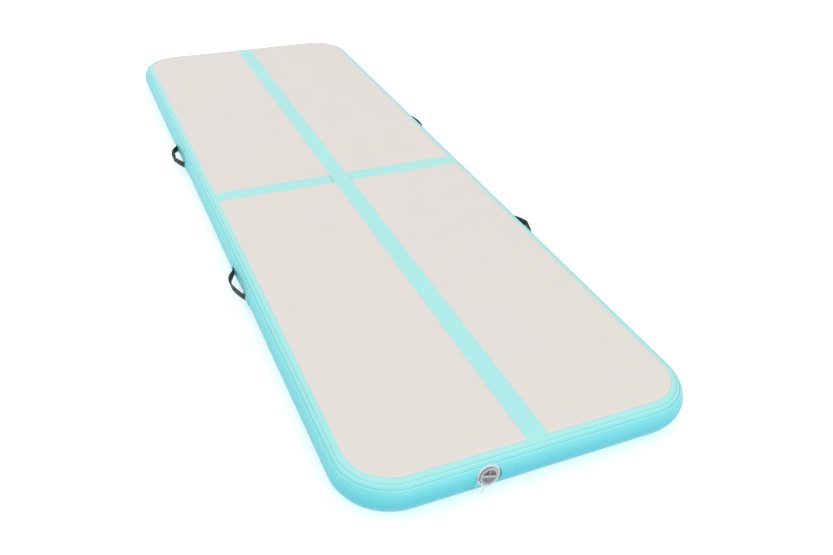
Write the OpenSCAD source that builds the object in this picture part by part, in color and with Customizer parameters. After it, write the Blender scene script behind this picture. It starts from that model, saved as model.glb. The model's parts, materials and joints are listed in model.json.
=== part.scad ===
// Inflatable air track mat: a drop-stitch air chamber with a taped rim, four webbing
// handles and a capped inflation valve in one short end.
// X runs across the mat, Y along it with the valve end at -Y, and Z up. The origin is the
// centre of the underside. All sizes are in millimetres.

/* [Mat] */
// Overall width across the side walls
mat_width = 1000; // [700:10:2000]
// Overall length between the end walls
mat_length = 3000; // [2000:10:6000]
// Height between the outer faces of the deck and the underside
mat_height = 100; // [90:1:120]
// Plan radius of the four outer corners
corner_radius = 160; // [130:1:280]
// Thickness of one layer of coated fabric
fabric = 0.8; // [0.5:0.1:1.1]

/* [Rim seams] */
// Angle above the horizontal at which the edge tapes end on the deck and the underside
tape_edge_angle = 77; // [70:0.5:84]
// Angle at which the deck and underside skins end beneath the edge tapes
skin_edge_angle = 57; // [52:0.5:64]
// Angle at which the outer wall layer ends
wall_edge_angle = 43; // [34:0.5:48]
// Angle to which the inner wall layer laps behind the skins
inner_lap_angle = 74; // [66:0.5:80]
// Width of the tape that joins the two ends of the inner wall layer
joint_tape_width = 60; // [30:1:100]
// Width of the outer wall's panel that carries the valve
valve_panel_width = 120; // [90:5:160]

/* [Deck lines] */
// Width of the line along the middle of the deck
centre_line_width = 60; // [30:1:120]
// Width of the line across the deck
cross_line_width = 60; // [30:1:120]
// Distance of the line across the deck from the middle, towards the valve end
cross_line_offset = 8; // [0:1:60]

/* [Drop stitch] */
// Spacing of the modelled threads, each standing for a few thousand
thread_spacing = 150; // [100:10:300]
// Diameter of a modelled thread
thread_d = 2; // [1:0.5:4]

/* [Handles] */
// Distance from the middle of the mat to the handles nearer the valve
front_handle_y = 490; // [250:5:900]
// Distance from the middle of the mat to the handles at the other end
rear_handle_y = 460; // [250:5:900]
// Distance between the two points that the grip swings about
grip_span = 108; // [80:1:160]
// Stand-off of the grip's swing line from the side wall
hinge_standoff = 14; // [13:0.5:24]
// Stand-off of the middle of the grip from the side wall
grip_standoff = 31; // [27:0.5:50]
// Height of the folded webbing of the grip
grip_height = 18; // [12:1:22]
// Thickness of the folded webbing of the grip
grip_thickness = 4; // [2:0.5:6]
// Width of the flat webbing at the ends of a handle
webbing_width = 25; // [20:1:40]
// Thickness of the flat webbing
webbing_thickness = 1.4; // [1:0.1:2.5]
// Length of webbing bonded to the wall at each end
tab_length = 38; // [25:1:60]
// Margin of the end patch around the bonded webbing
patch_margin = 9; // [5:1:15]

/* [Valve] */
// Distance of the valve from the middle of the end wall, towards -X
valve_offset = 148; // [80:1:220]
// Upward tilt of the valve's axis
valve_tilt = 7; // [0:0.5:10]
// Depth of the flange's top below the widest line of the wall
valve_sink = 4; // [3:0.5:6]
// Outer radius of the flange
flange_r = 31; // [30:0.5:33]
// Radius of the rounded bead round the flange
bead_r = 3; // [2:0.5:3.5]
// Radius of the bore that the cap screws into
barrel_bore_r = 20.4; // [18:0.1:20.8]
// Wall of the barrel
barrel_wall = 2; // [1.5:0.1:2.2]
// Depth of the barrel from the flange's top to its inner end
barrel_depth = 34.8; // [32:0.1:42]
// Radius of the air opening in the valve seat
seat_r = 11; // [8:0.5:13]
// Travel of the valve pin when it is pressed
pin_travel = 6; // [4.5:0.5:7]
// Radius of the valve pin's stem
stem_r = 2.6; // [2:0.1:3]

/* [Cap] */
// Height of the cap's lip
cap_lip_height = 2.3; // [1.5:0.1:4]
// Depth of the finger recess in the cap
recess_depth = 6; // [5:0.1:6.5]
// Width of the grip bar across the recess
cap_bar_width = 6; // [4:0.5:8]
// Width of the rib across the grip bar
cap_rib_width = 3.5; // [2:0.5:5]
// Angle of the grip bar from the horizontal
cap_bar_angle = -17; // [-90:1:90]
// Radius of the tether's loop
tether_loop_r = 10.7; // [8:0.1:11]

/* [Hidden] */
$fn = 96;

// Colours
beige = [0.89, 0.87, 0.84];
turquoise = [0.62, 0.91, 0.90];
charcoal = [0.18, 0.20, 0.19];
valve_grey = [0.62, 0.63, 0.65];
dark_rubber = [0.30, 0.31, 0.33];
spring_steel = [0.78, 0.78, 0.80];
clear_plastic = [0.85, 0.93, 0.95, 0.6];
thread_white = [0.93, 0.93, 0.92];

// Rim: every wall layer is an arc about a line that runs round the mat at mid height
core_r = mat_height / 2;
wall_r = core_r + fabric;
rim_x = mat_width / 2 - wall_r;
rim_y = mat_length / 2 - wall_r;
rim_z = mat_height / 2;
rim_corner_r = corner_radius - wall_r;
corner_x = rim_x - rim_corner_r;
corner_y = rim_y - rim_corner_r;
quarter_turn = 90;

// Clearances, and how far a cut runs past the face it opens
gap = 0.3;
seal_gap = 0.1;
running_gap = 0.05;
lip_gap = 0.6;
nut_gap = 2.8;
lug_gap = 0.5;
overcut = 1;

// Handles
wall_x = mat_width / 2;
strap_arc_r = (pow(grip_span / 2, 2) + pow(grip_standoff - hinge_standoff, 2))
    / (2 * (grip_standoff - hinge_standoff));
strap_arc_angle = asin(grip_span / 2 / strap_arc_r);
leg_run = 15;
leg_thickness = 2;
leg_root = 1;
patch_gap = 1;
grip_reach = (strap_arc_r + grip_thickness / 2) * sin(strap_arc_angle);
leg_end_u = grip_reach + gap + leg_thickness / 2;
tab_start_u = leg_end_u + leg_run - leg_thickness / 2;
tab_angle = asin(webbing_width / 2 / wall_r);
patch_angle = asin((webbing_width / 2 + patch_margin) / wall_r);
stitch_t = 0.4;
stitch_h = 0.8;
stitch_inset = 4;
stitch_angle = strap_arc_angle - 3;

// Valve heights are distances from the rim's centre line, along the valve's axis
bead_top = wall_r - valve_sink;
flange_z = bead_top - bead_r;
web_t = 1.2;
web_top = flange_z + web_t;
gasket_t = 0.8;
gasket_border = 2;
floor_t = 2;
floor_top = flange_z - gasket_t;
floor_z = floor_top - floor_t;
bead_mid_r = flange_r - bead_r;
boot_border = 2.4;
boot_r = flange_r + boot_border;
boot_wall = 1.6;
boot_skirt = 1;
boot_z = sqrt(pow(core_r - 2 * fabric, 2) - pow(boot_r, 2)) - boot_skirt;
barrel_r = barrel_bore_r + barrel_wall;
barrel_z = bead_top - barrel_depth;
seat_t = 2;
seat_top = barrel_z + seat_t;
nut_r = boot_r - boot_wall - nut_gap;
nut_h = 5;
nut_notches = 8;
nut_notch_w = 4;
nut_notch_d = 1.5;
guide_t = 1.5;
guide_lift = 12;
guide_z = barrel_z + guide_lift;
guide_top = guide_z + guide_t;
guide_cut = guide_t + 2 * overcut;
port_count = 6;
port_r = 3.6;

// Pin
lug_t = 1.5;
lug_w = 2;
lug_r = 4.2;
lug_z = guide_top + lug_gap;
button_r = 7;
button_t = 2;
button_sink = 3.5;
button_top = web_top - button_sink;
port_at_r = (button_r + barrel_bore_r) / 2;
spring_mean_r = 5.4;
spring_wire_r = 0.45;
spring_turns = 5;
spring_steps = 16;
spring_sides = 8;
disc_overlap = 4;
disc_r = seat_r + disc_overlap;
disc_t = 2;
disc_top = barrel_z - seal_gap;
disc_z = disc_top - disc_t;
washer_r = 8;
washer_t = 1.5;
washer_z = disc_z - washer_t;
head_r = 5;
head_t = 1.4;
head_z = washer_z - seal_gap - head_t;

// Cap and tether
skirt_r = barrel_bore_r - gap;
skirt_wall = 1.5;
recess_r = skirt_r - skirt_wall;
skirt_depth = 8;
neck_lift = 1.8;
neck_z = web_top + neck_lift;
neck_border = 1.6;
neck_r = barrel_bore_r + neck_border;
ring_t = 0.8;
ring_width = 1.9;
ring_z = bead_top + gap;
ring_in_r = neck_r + gap;
ring_out_r = ring_in_r + ring_width;
cap_lip_r = bead_mid_r - bead_r - lip_gap;
lip_z = ring_z + ring_t + gap;
cap_top = lip_z + cap_lip_height;
recess_z = cap_top - recess_depth;
recess_floor_t = 2;
bar_inset = 0.5;
strap_t = 1.2;
strap_w = 4;
strap_lift = 1.6;
tether_tab_w = 4;
loop_at = [-28, -22];
loop_start = 75;
loop_sweep = 290;
loop_tilt = 35;
loop_first = loop_at + tether_loop_r * [cos(loop_start), sin(loop_start)];
loop_end = loop_start + loop_sweep;
tab_reach = norm(loop_first) + strap_t / 2;
loop_last = loop_at + tether_loop_r * [cos(loop_end), sin(loop_end)];

// ---- Shared shapes ----

// A sector of a ring, between two angles counted from +X
module ring_sector(r_in, r_out, a0, a1) {
    spokes = 4;
    intersection() {
        difference() {
            circle(r_out);
            circle(r_in);
        }
        polygon([
            [0, 0],
            for (i = [0:spokes])
                2 * r_out * [cos(a0 + (a1 - a0) * i / spokes), sin(a0 + (a1 - a0) * i / spokes)]
        ]);
    }
}

// A wall layer swept all the way round the rim
module rim(r_in, r_out, a0, a1) {
    translate([0, 0, rim_z])
        for (turn = [0, 180]) {
            rotate(turn)
                translate([rim_x, corner_y, 0])
                    rotate([90, 0, 0])
                        linear_extrude(2 * corner_y)
                            ring_sector(r_in, r_out, a0, a1);
            rotate(turn + 90)
                translate([rim_y, corner_x, 0])
                    rotate([90, 0, 0])
                        linear_extrude(2 * corner_x)
                            ring_sector(r_in, r_out, a0, a1);
            rotate(turn)
                translate([corner_x, corner_y, 0])
                    rotate_extrude(angle = 90)
                        translate([rim_corner_r, 0])
                            ring_sector(r_in, r_out, a0, a1);
            rotate(turn)
                mirror([0, 1, 0])
                    translate([corner_x, corner_y, 0])
                        rotate_extrude(angle = 90)
                            translate([rim_corner_r, 0])
                                ring_sector(r_in, r_out, a0, a1);
        }
}

// The flat sheet between the rim's centre lines
module flat_sheet(z) {
    translate([0, 0, z])
        linear_extrude(fabric) {
            square([2 * corner_x, 2 * rim_y], center = true);
            square([2 * rim_x, 2 * corner_y], center = true);
            for (x = [-corner_x, corner_x], y = [-corner_y, corner_y])
                translate([x, y])
                    circle(rim_corner_r);
        }
}

// Places the valve's own frame: its Z axis points out through the wall, its Y axis up it
module at_valve() {
    translate([-valve_offset, -rim_y, rim_z])
        rotate([90 - valve_tilt, 0, 0])
            children();
}

module tube(r_in, r_out, z0, z1) {
    translate([0, 0, z0])
        difference() {
            cylinder(r = r_out, h = z1 - z0);
            translate([0, 0, -overcut])
                cylinder(r = r_in, h = z1 - z0 + 2 * overcut);
        }
}

// The round opening that the valve needs in the wall layers
module valve_opening() {
    at_valve()
        translate([0, 0, boot_z - boot_skirt - overcut])
            cylinder(r = boot_r, h = wall_r);
}

// ---- Air chamber ----

module top_skin() {
    color(beige) {
        flat_sheet(mat_height - fabric);
        rim(core_r - fabric, core_r, skin_edge_angle, quarter_turn);
    }
}

module bottom_skin() {
    color(beige) {
        flat_sheet(0);
        rim(core_r - fabric, core_r, -quarter_turn, -skin_edge_angle);
    }
}

function on_sheet(x, y) =
    norm([max(abs(x) - corner_x, 0), max(abs(y) - corner_y, 0)]) < rim_corner_r - thread_d;

module drop_stitch_threads() {
    columns = floor((rim_x - thread_d) / thread_spacing);
    rows = floor((rim_y - thread_d) / thread_spacing);
    color(thread_white)
        for (i = [-columns:columns], j = [-rows:rows])
            if (on_sheet(i * thread_spacing, j * thread_spacing))
                translate([i * thread_spacing, j * thread_spacing, fabric])
                    cylinder(d = thread_d, h = mat_height - 2 * fabric);
}

module side_wall_inner() {
    color(turquoise)
        difference() {
            rim(core_r - 2 * fabric, core_r - fabric, -inner_lap_angle, inner_lap_angle);
            valve_opening();
        }
}

// The outer wall comes in three lengths: one down each side of the mat, which meet in the
// middle of the rear end, and the panel between them that carries the valve
module outer_wall() {
    rim(core_r - fabric, wall_r, -wall_edge_angle, wall_edge_angle);
}

// Everything on the +X side of x in the valve's half of the mat, and of the middle in the rear half
module beyond(x) {
    translate([0, 0, -overcut])
        linear_extrude(mat_height + 2 * overcut)
            polygon([
                [x, -mat_length],
                [mat_width, -mat_length],
                [mat_width, mat_length],
                [0, mat_length],
                [0, 0],
                [x, 0],
            ]);
}

module left_side_wall() {
    color(turquoise)
        difference() {
            outer_wall();
            beyond(-valve_offset - valve_panel_width / 2);
        }
}

module right_side_wall() {
    color(turquoise)
        intersection() {
            outer_wall();
            beyond(-valve_offset + valve_panel_width / 2);
        }
}

module valve_wall_panel() {
    color(turquoise)
        difference() {
            intersection() {
                outer_wall();
                translate([-valve_offset - valve_panel_width / 2, -mat_length, 0])
                    cube([valve_panel_width, mat_length, mat_height]);
            }
            valve_opening();
        }
}

module side_wall_joint_tape() {
    color(turquoise)
        translate([joint_tape_width / 2, rim_y, rim_z])
            rotate([90, 0, -90])
                linear_extrude(joint_tape_width)
                    mirror([1, 0])
                        ring_sector(core_r - 3 * fabric, core_r - 2 * fabric,
                            -wall_edge_angle, wall_edge_angle);
}

module upper_seam_strip() {
    color(turquoise)
        difference() {
            rim(core_r - fabric, wall_r, wall_edge_angle, skin_edge_angle);
            valve_opening();
        }
}

module lower_seam_strip() {
    color(turquoise)
        rim(core_r - fabric, wall_r, -skin_edge_angle, -wall_edge_angle);
}

module top_edge_tape() {
    color(turquoise)
        rim(core_r, wall_r, skin_edge_angle, tape_edge_angle);
}

module bottom_edge_tape() {
    color(turquoise)
        rim(core_r, wall_r, -tape_edge_angle, -skin_edge_angle);
}

// ---- Deck lines ----

// The end of a line, following the shoulder down to the edge tape
module line_end(width, reach) {
    translate([reach, width / 2, rim_z])
        rotate([90, 0, 0])
            linear_extrude(width)
                ring_sector(core_r, wall_r, tape_edge_angle, quarter_turn);
}

module centre_line_tape() {
    color(turquoise) {
        translate([-centre_line_width / 2, -rim_y, mat_height])
            cube([centre_line_width, 2 * rim_y, fabric]);
        for (turn = [90, 270])
            rotate(turn)
                line_end(centre_line_width, rim_y);
    }
}

module cross_line_half() {
    color(turquoise) {
        translate([centre_line_width / 2, -cross_line_width / 2, mat_height])
            cube([rim_x - centre_line_width / 2, cross_line_width, fabric]);
        line_end(cross_line_width, rim_x);
    }
}

module left_cross_line_tape() {
    translate([0, -cross_line_offset, 0])
        mirror([1, 0, 0])
            cross_line_half();
}

module right_cross_line_tape() {
    translate([0, -cross_line_offset, 0])
        cross_line_half();
}

// ---- Handles: each is drawn on the +X wall and mirrored for the -X wall ----

module at_handle(left, y) {
    translate([0, y, 0])
        mirror([left ? 1 : 0, 0, 0])
            children();
}

// A layer on the wall beside a handle, from u0 to u1 along the wall
module wall_layer(r_in, r_out, angle, u0, u1) {
    translate([rim_x, u1, rim_z])
        rotate([90, 0, 0])
            linear_extrude(u1 - u0)
                ring_sector(r_in, r_out, -angle, angle);
}

module bonded_tab() {
    wall_layer(wall_r, wall_r + webbing_thickness, tab_angle, tab_start_u,
        tab_start_u + tab_length);
}

// Flat webbing: bonded to the wall, then standing out from it to the grip's swing line
module strap_end() {
    lean = atan2(hinge_standoff - webbing_thickness / 2, leg_run - leg_thickness / 2);
    side = leg_thickness / 2 * [sin(lean), cos(lean)];
    root = [webbing_thickness / 2, tab_start_u + leg_root];
    tip = [hinge_standoff, leg_end_u];
    bonded_tab();
    translate([wall_x, 0, rim_z - webbing_width / 2])
        linear_extrude(webbing_width)
            polygon([
                [root[0] - side[1], root[1] - side[0]],
                [root[0] + side[1], root[1] + side[0]],
                [tip[0] + side[1], tip[1] + side[0]],
                [tip[0] - side[1], tip[1] - side[0]]
            ]);
}

module strap_ends(left, y) {
    color(charcoal)
        at_handle(left, y)
            for (flip = [0, 1])
                mirror([0, flip, 0])
                    strap_end();
}

module end_patches(left, y) {
    color(turquoise)
        at_handle(left, y)
            for (flip = [0, 1])
                mirror([0, flip, 0])
                    difference() {
                        wall_layer(wall_r, wall_r + webbing_thickness + fabric, patch_angle,
                            tab_start_u + leg_thickness + patch_gap,
                            tab_start_u + tab_length + patch_margin);
                        bonded_tab();
                    }
}

// An arc of the grip's curve, between two distances from its centre line
module grip_arc(offset_in, offset_out, half_angle, z, height) {
    translate([wall_x + grip_standoff - strap_arc_r, 0, z])
        rotate_extrude(angle = 2 * half_angle, start = -half_angle)
            translate([strap_arc_r + offset_in, 0])
                square([offset_out - offset_in, height]);
}

module grip(left, y) {
    color(charcoal)
        at_handle(left, y)
            grip_arc(-grip_thickness / 2, grip_thickness / 2, strap_arc_angle,
                rim_z - grip_height / 2, grip_height);
}

module stitching(left, y) {
    color(thread_white)
        at_handle(left, y)
            for (z = [stitch_inset, grip_height - stitch_inset])
                grip_arc(grip_thickness / 2, grip_thickness / 2 + stitch_t, stitch_angle,
                    rim_z - grip_height / 2 + z - stitch_h / 2, stitch_h);
}

// ---- Valve ----

// Moulded cup welded into the wall, which gives the flange a flat seat
module valve_boot() {
    color(turquoise) {
        at_valve() {
            tube(boot_r - boot_wall, boot_r, boot_z, floor_top);
            tube(barrel_r + 2 * gap, boot_r, floor_z, floor_top);
        }
        intersection() {
            at_valve()
                tube(boot_r - boot_wall, boot_r, floor_z, wall_r + overcut);
            translate([-valve_offset - 2 * boot_r, -rim_y, rim_z])
                rotate([0, 90, 0])
                    cylinder(r = wall_r, h = 4 * boot_r);
        }
    }
}

module flange_gasket() {
    color(dark_rubber)
        at_valve()
            tube(barrel_r + 2 * gap, bead_mid_r + gasket_border, floor_top, flange_z);
}

module valve_body() {
    color(valve_grey)
        at_valve()
            difference() {
                rotate_extrude() {
                    translate([barrel_bore_r, barrel_z])
                        square([barrel_wall, web_top - barrel_z]);
                    translate([seat_r, barrel_z])
                        square([barrel_r - seat_r, seat_t]);
                    translate([0, guide_z])
                        square([barrel_r, guide_t]);
                    translate([barrel_bore_r, flange_z])
                        square([bead_mid_r - barrel_bore_r, web_t]);
                    intersection() {
                        translate([bead_mid_r, flange_z])
                            circle(bead_r);
                        translate([bead_mid_r - bead_r, flange_z])
                            square([2 * bead_r, bead_r]);
                    }
                }
                translate([0, 0, guide_z - overcut]) {
                    cylinder(r = stem_r + gap, h = guide_cut);
                    translate([-lug_r - gap, -lug_w / 2 - gap, 0])
                        cube([2 * (lug_r + gap), lug_w + 2 * gap, guide_cut]);
                    for (i = [0:port_count - 1])
                        rotate(i * 360 / port_count)
                            translate([0, port_at_r, 0])
                                cylinder(r = port_r, h = guide_cut);
                }
            }
}

module valve_nut() {
    color(valve_grey)
        at_valve()
            difference() {
                tube(barrel_r + seal_gap, nut_r, floor_z - nut_h, floor_z);
                for (i = [0:nut_notches - 1])
                    rotate(i * 360 / nut_notches)
                        translate([nut_r - nut_notch_d, -nut_notch_w / 2, floor_z - nut_h - overcut])
                            cube([2 * nut_notch_d, nut_notch_w, nut_h]);
            }
}

module valve_pin() {
    color(valve_grey)
        at_valve() {
            translate([0, 0, head_z])
                cylinder(r = stem_r, h = button_top - head_z);
            translate([0, 0, head_z])
                cylinder(r = head_r, h = head_t);
            translate([0, 0, button_top - button_t])
                cylinder(r = button_r, h = button_t);
            translate([-lug_r, -lug_w / 2, lug_z])
                cube([2 * lug_r, lug_w, lug_t]);
        }
}

// Points of one ring of the spring's wire, at a turn angle and height
function wire_ring(a, z) = [
    for (s = [0:spring_sides - 1])
        let (w = 360 * s / spring_sides, r = spring_mean_r + spring_wire_r * cos(w))
            [r * cos(a), r * sin(a), z + spring_wire_r * sin(w)]
];

module pin_spring() {
    z0 = guide_top + spring_wire_r;
    z1 = button_top - button_t - spring_wire_r;
    last = spring_turns * spring_steps;
    points = [
        for (i = [0:last])
            each wire_ring(360 * i / spring_steps, z0 + (z1 - z0) * i / last)
    ];
    sides = [
        for (i = [0:last - 1], s = [0:spring_sides - 1])
            let (a = i * spring_sides + s, b = i * spring_sides + (s + 1) % spring_sides)
                [a, b, b + spring_sides, a + spring_sides]
    ];
    near_end = [for (s = [0:spring_sides - 1]) spring_sides - 1 - s];
    far_end = [for (s = [0:spring_sides - 1]) last * spring_sides + s];
    color(spring_steel)
        at_valve()
            polyhedron(points, concat(sides, [near_end, far_end]));
}

module seal_disc() {
    color(dark_rubber)
        at_valve()
            tube(stem_r + running_gap, disc_r, disc_z, disc_top);
}

module seal_washer() {
    color(valve_grey)
        at_valve()
            tube(stem_r + running_gap, washer_r, washer_z, disc_z);
}

// ---- Cap and tether ----

module cap() {
    color(valve_grey)
        at_valve() {
            tube(recess_r, skirt_r, web_top - skirt_depth, neck_z);
            tube(recess_r, neck_r, neck_z, lip_z);
            tube(recess_r, cap_lip_r, lip_z, cap_top);
            translate([0, 0, recess_z - recess_floor_t])
                cylinder(r = recess_r + skirt_wall / 2, h = recess_floor_t);
            rotate(cap_bar_angle)
                for (bar = [[recess_r, cap_bar_width], [cap_rib_width / 2, 2 * recess_r]])
                    intersection() {
                        translate([-bar[0], -bar[1] / 2, recess_z - recess_floor_t / 2])
                            cube([2 * bar[0], bar[1],
                                cap_top - bar_inset - recess_z + recess_floor_t / 2]);
                        translate([0, 0, recess_z - recess_floor_t])
                            cylinder(r = recess_r + skirt_wall / 2, h = cap_top - recess_z);
                    }
        }
}

module cap_gasket() {
    color(dark_rubber)
        at_valve()
            tube(skirt_r + seal_gap, neck_r, web_top + seal_gap, neck_z);
}

// The ring that the cap turns in, with a strap that loops back to the flange
module tether() {
    color(clear_plastic)
        at_valve() {
            difference() {
                union() {
                    translate([0, 0, ring_z])
                        cylinder(r = ring_out_r, h = ring_t);
                    rotate(atan2(loop_first[1], loop_first[0])) {
                        translate([0, -tether_tab_w / 2, ring_z])
                            cube([tab_reach, tether_tab_w, ring_t]);
                        translate([cap_lip_r + gap, -tether_tab_w / 2, ring_z])
                            cube([tab_reach - cap_lip_r - gap, tether_tab_w, strap_lift + gap]);
                    }
                }
                translate([0, 0, ring_z - overcut])
                    cylinder(r = ring_in_r, h = ring_t + 2 * overcut);
            }
            translate([loop_first[0], loop_first[1], ring_z + strap_lift])
                rotate(a = loop_tilt, v = concat(loop_first - loop_last, 0))
                    translate(loop_at - loop_first)
                        rotate_extrude(angle = loop_sweep, start = loop_start)
                            translate([tether_loop_r - strap_t / 2, 0])
                                square([strap_t, strap_w]);
        }
}

top_skin();
bottom_skin();
drop_stitch_threads();
side_wall_inner();
left_side_wall();
right_side_wall();
valve_wall_panel();
side_wall_joint_tape();
upper_seam_strip();
lower_seam_strip();
top_edge_tape();
bottom_edge_tape();
centre_line_tape();
left_cross_line_tape();
right_cross_line_tape();
strap_ends(true, -front_handle_y);  // front_left_strap_ends
end_patches(true, -front_handle_y);  // front_left_end_patches
grip(true, -front_handle_y);  // front_left_grip
stitching(true, -front_handle_y);  // front_left_stitching
strap_ends(false, -front_handle_y);  // front_right_strap_ends
end_patches(false, -front_handle_y);  // front_right_end_patches
grip(false, -front_handle_y);  // front_right_grip
stitching(false, -front_handle_y);  // front_right_stitching
strap_ends(true, rear_handle_y);  // rear_left_strap_ends
end_patches(true, rear_handle_y);  // rear_left_end_patches
grip(true, rear_handle_y);  // rear_left_grip
stitching(true, rear_handle_y);  // rear_left_stitching
strap_ends(false, rear_handle_y);  // rear_right_strap_ends
end_patches(false, rear_handle_y);  // rear_right_end_patches
grip(false, rear_handle_y);  // rear_right_grip
stitching(false, rear_handle_y);  // rear_right_stitching
valve_boot();
flange_gasket();
valve_body();
valve_nut();
valve_pin();
pin_spring();
seal_disc();
seal_washer();
cap();
cap_gasket();
tether();
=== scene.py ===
"""Looks of the air track mat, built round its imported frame. Lengths are in metres."""
import json
import math

import bmesh
import bpy
import numpy as np
from mathutils import Matrix, Vector


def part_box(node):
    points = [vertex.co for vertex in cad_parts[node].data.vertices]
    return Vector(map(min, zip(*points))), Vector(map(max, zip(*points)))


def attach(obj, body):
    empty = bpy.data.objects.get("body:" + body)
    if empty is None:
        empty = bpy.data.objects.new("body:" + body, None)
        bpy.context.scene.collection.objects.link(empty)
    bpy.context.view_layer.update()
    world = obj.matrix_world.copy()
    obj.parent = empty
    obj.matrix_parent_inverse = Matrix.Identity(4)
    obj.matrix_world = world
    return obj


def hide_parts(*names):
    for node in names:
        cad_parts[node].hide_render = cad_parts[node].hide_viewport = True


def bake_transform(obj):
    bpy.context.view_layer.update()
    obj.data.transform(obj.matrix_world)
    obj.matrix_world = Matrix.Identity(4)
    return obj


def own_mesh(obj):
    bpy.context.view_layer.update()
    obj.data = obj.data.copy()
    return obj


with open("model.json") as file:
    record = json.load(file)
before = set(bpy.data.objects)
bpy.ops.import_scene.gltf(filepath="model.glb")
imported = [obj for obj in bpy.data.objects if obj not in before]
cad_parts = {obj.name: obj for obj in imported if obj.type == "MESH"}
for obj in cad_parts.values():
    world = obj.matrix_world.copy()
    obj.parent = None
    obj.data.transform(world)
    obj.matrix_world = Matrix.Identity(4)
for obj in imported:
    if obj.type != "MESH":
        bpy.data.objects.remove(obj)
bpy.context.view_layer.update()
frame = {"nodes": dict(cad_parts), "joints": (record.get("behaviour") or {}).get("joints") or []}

MM = 0.001

# ---- Sizes, from the frame ----
JOINTS = {joint["name"]: joint for joint in frame["joints"]}
DECK_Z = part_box("top_skin")[1].z
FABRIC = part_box("centre_line_tape")[1].z - DECK_Z
CORE_R = DECK_Z / 2
RIM_Z = DECK_Z / 2
WALL_R = CORE_R + FABRIC
HALF_WIDTH = round(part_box("right_side_wall")[1].x, 3)
RIM_X = HALF_WIDTH - WALL_R
RIM_Y = round(-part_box("valve_wall_panel")[0].y, 3) - WALL_R
PLAN_CORNER_R = 0.160
RIM_CORNER_R = PLAN_CORNER_R - WALL_R
LINE_WIDTH = 0.060
CROSS_LINE_Y = sum(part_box("left_cross_line_tape")[i].y for i in (0, 1)) / 2
PANEL_X = [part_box("valve_wall_panel")[i].x for i in (0, 1)]
HANDLE_NAMES = ["front_left", "front_right", "rear_left", "rear_right"]
HANDLE_SIDE = {h: -1 if "left" in h else 1 for h in HANDLE_NAMES}
HANDLE_Y = {h: sum(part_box(h + "_grip")[i].y for i in (0, 1)) / 2 for h in HANDLE_NAMES}

# Angles above the horizontal, in degrees, at which the layers of the rim end
TAPE_EDGE = 77.0
SKIN_EDGE = 57.0
WALL_EDGE = 43.0

# The valve's own axes: X along the wall, Y up it and Z out of it
VALVE_OUT = np.array(JOINTS["cap_turn"]["axis"])
VALVE_ACROSS = np.array([1.0, 0.0, 0.0])
VALVE_UP = np.cross(VALVE_OUT, VALVE_ACROSS)
VALVE_X = JOINTS["cap_turn"]["pos_m"][0]
VALVE_AT = np.array([VALVE_X, -RIM_Y, RIM_Z])

# Radii of the valve's parts, and heights along its axis
FLANGE_R = 0.031
SEAT_Z = 0.0440
CAP_TOP = 0.0505
CAP_R = 0.0244
LIP_Z = 0.0482
DISH_R = 0.0186
DISH_Z = 0.0446


# ---- Small helpers ----
def smooth(t):
    t = np.clip(t, 0, 1)
    return t * t * (3 - 2 * t)


def hump(distance, width):
    return np.exp(-((distance / width) ** 2))


def mesh_piece(name, points, faces, material):
    """A smooth object of points and faces, without doubled or loose points."""
    mesh = bpy.data.meshes.new(name)
    mesh.from_pydata(np.asarray(points, float).reshape(-1, 3).tolist(), [], faces)
    bm = bmesh.new()
    bm.from_mesh(mesh)
    bmesh.ops.remove_doubles(bm, verts=bm.verts, dist=2e-6)
    bmesh.ops.dissolve_degenerate(bm, edges=bm.edges, dist=1e-7)
    bmesh.ops.delete(bm, geom=[v for v in bm.verts if not v.link_faces], context="VERTS")
    bmesh.ops.recalc_face_normals(bm, faces=bm.faces)
    bm.to_mesh(mesh)
    bm.free()
    mesh.materials.append(material)
    for polygon in mesh.polygons:
        polygon.use_smooth = True
    obj = bpy.data.objects.new(name, mesh)
    bpy.context.scene.collection.objects.link(obj)
    return obj


def grid_faces(rows, columns, wrap_rows=False, wrap_columns=False):
    """Quads between the points of a grid, numbered row by row."""
    faces = []
    for i in range(rows if wrap_rows else rows - 1):
        for j in range(columns if wrap_columns else columns - 1):
            a, b = i * columns + j, i * columns + (j + 1) % columns
            below = (i + 1) % rows * columns
            faces.append((a, b, below + (j + 1) % columns, below + j))
    return faces


def unit(rows):
    """The rows of an array, each made one long."""
    return rows / np.linalg.norm(rows, axis=1)[:, None]


def lengths_along(points):
    """How far each point is from the first, along the line through them all."""
    return np.concatenate([[0], np.cumsum(np.linalg.norm(np.diff(points, axis=0), axis=1))])


def tube_faces(rows, columns):
    """Faces of a tube: the quads round it and a polygon over each end."""
    last = (rows - 1) * columns
    ends = [tuple(range(columns)), tuple(reversed(range(last, last + columns)))]
    return grid_faces(rows, columns, wrap_columns=True) + ends


def shifted(faces, base):
    """The same faces for points that follow base other points."""
    return [tuple(base + k for k in face) for face in faces]


# ---- The rim's path: stations round the mat, closer together near the valve and handles ----
STEP = 0.016
CLOSE_STEP = 0.0026
CLOSE_REACH = 0.17
CORNER_STEPS = 26


def side_stations(half, marks):
    """Places along a straight side from -1 to 1, closer together near the marks."""
    at = [-half]
    while at[-1] < half:
        away = min((abs(at[-1] - mark) for mark in marks), default=1.0)
        nearness = float(smooth(1 - away / CLOSE_REACH))
        at.append(at[-1] + STEP + (CLOSE_STEP - STEP) * nearness)
    at = np.array(at)
    return -1 + (at + half) * 2 / (at[-1] + half)


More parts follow.
